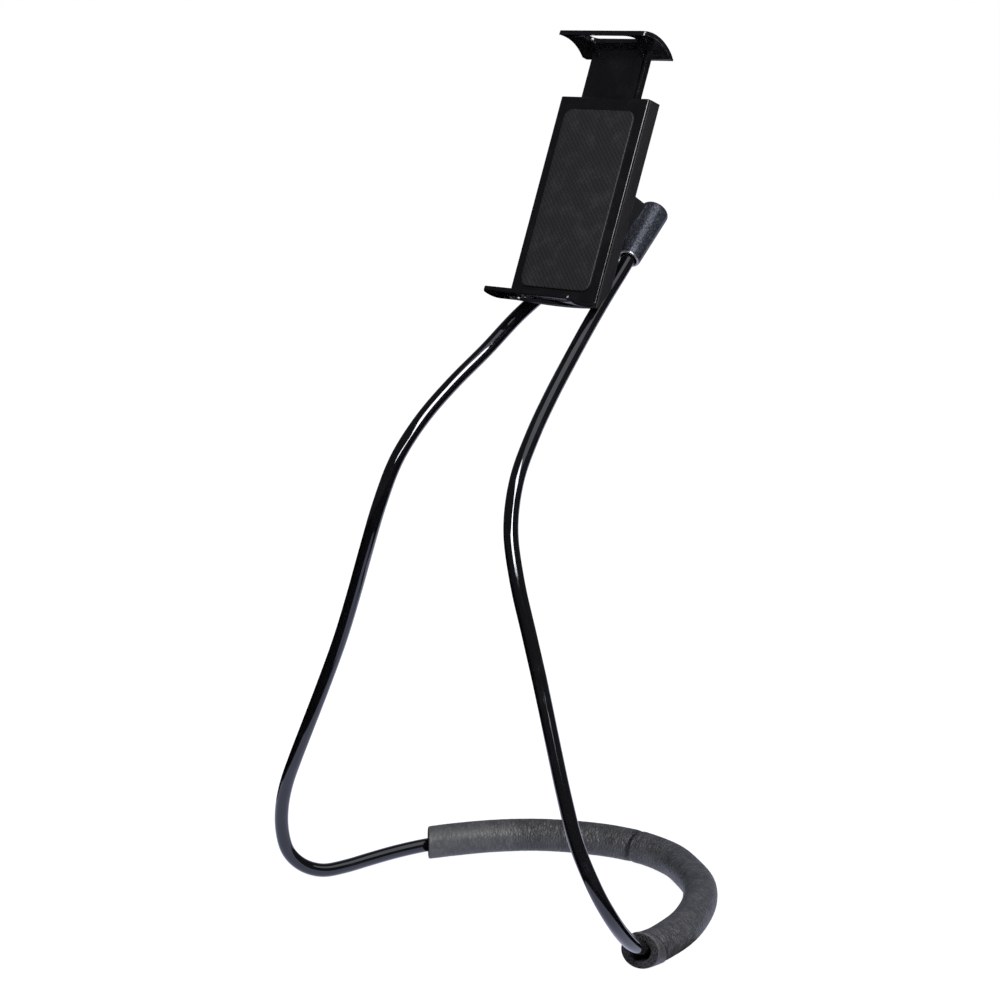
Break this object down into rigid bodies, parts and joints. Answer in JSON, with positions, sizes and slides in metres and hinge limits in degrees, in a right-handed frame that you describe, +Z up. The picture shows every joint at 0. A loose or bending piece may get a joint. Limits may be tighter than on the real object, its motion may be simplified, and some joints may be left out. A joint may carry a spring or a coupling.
{
  "type": "neck phone holder",
  "caption": "Bendable neck loop with a foam collar sleeve that carries a tilting and swivelling spring-loaded phone clamp.",
  "frame": {"origin": "the middle of the bounding box on the plane it stands on, under the clamp", "axes": "+Z up; +Y from the phone side back towards the wearer's nape; +X to the right as seen from the phone side"},
  "size_m": [0.2372, 0.1728, 0.4443],
  "materials": {
    "black_gloss": "glossy black moulded plastic",
    "tube_gloss": "glossy black flexible tube",
    "housing_grey": "fine matte dark grey",
    "socket_grey": "satin dark grey",
    "foam_grey": "soft wrinkled dark grey foam",
    "pad_black": "matte black rubber",
    "wire_steel": "bright drawn wire",
    "bolt_steel": "zinc-plated steel",
    "screw_black": "black-coated steel",
    "spring_steel": "bright spring wire",
    "nylon_white": "natural nylon",
    "ferrule_brass": "plain brass"
  },
  "bodies": {
    "loop": {"core_wire": "wire_steel", "loop_tube": "tube_gloss", "foam_sleeve": "foam_grey", "wire_ferrules": "ferrule_brass", "socket_yoke": "socket_grey", "set_screws": "screw_black"},
    "fork": {"tilt_bolt": "bolt_steel", "tilt_nut": "bolt_steel", "tilt_washers": "nylon_white", "swivel_fork": "socket_grey", "swivel_washer": "nylon_white", "retaining_washer": "bolt_steel", "spindle_screw": "screw_black"},
    "clamp": {"front_plate": "black_gloss", "rear_housing": "housing_grey", "housing_screws": "screw_black", "grip_pad": "pad_black", "spring_left": "spring_steel", "spring_right": "spring_steel"},
    "jaw": {"upper_jaw": "black_gloss"}
  },
  "joints": [
    {"name": "clamp_tilt", "type": "hinge", "parent": "loop", "child": "fork", "pos_m": [0, 0.0387, 0.3505], "axis": [1, 0, 0], "range_deg": [-40, 0]},
    {"name": "clamp_swivel", "type": "hinge", "parent": "fork", "child": "clamp", "pos_m": [0, 0.0387, 0.3505], "axis": [0, 0.9336, -0.3584], "range_deg": [-90, 90]},
    {"name": "jaw_slide", "type": "slide", "parent": "clamp", "child": "jaw", "axis": [0, 0.3584, 0.9336], "range_m": [-0.021, 0.025], "deforming": ["spring_left", "spring_right"]}
  ]
}
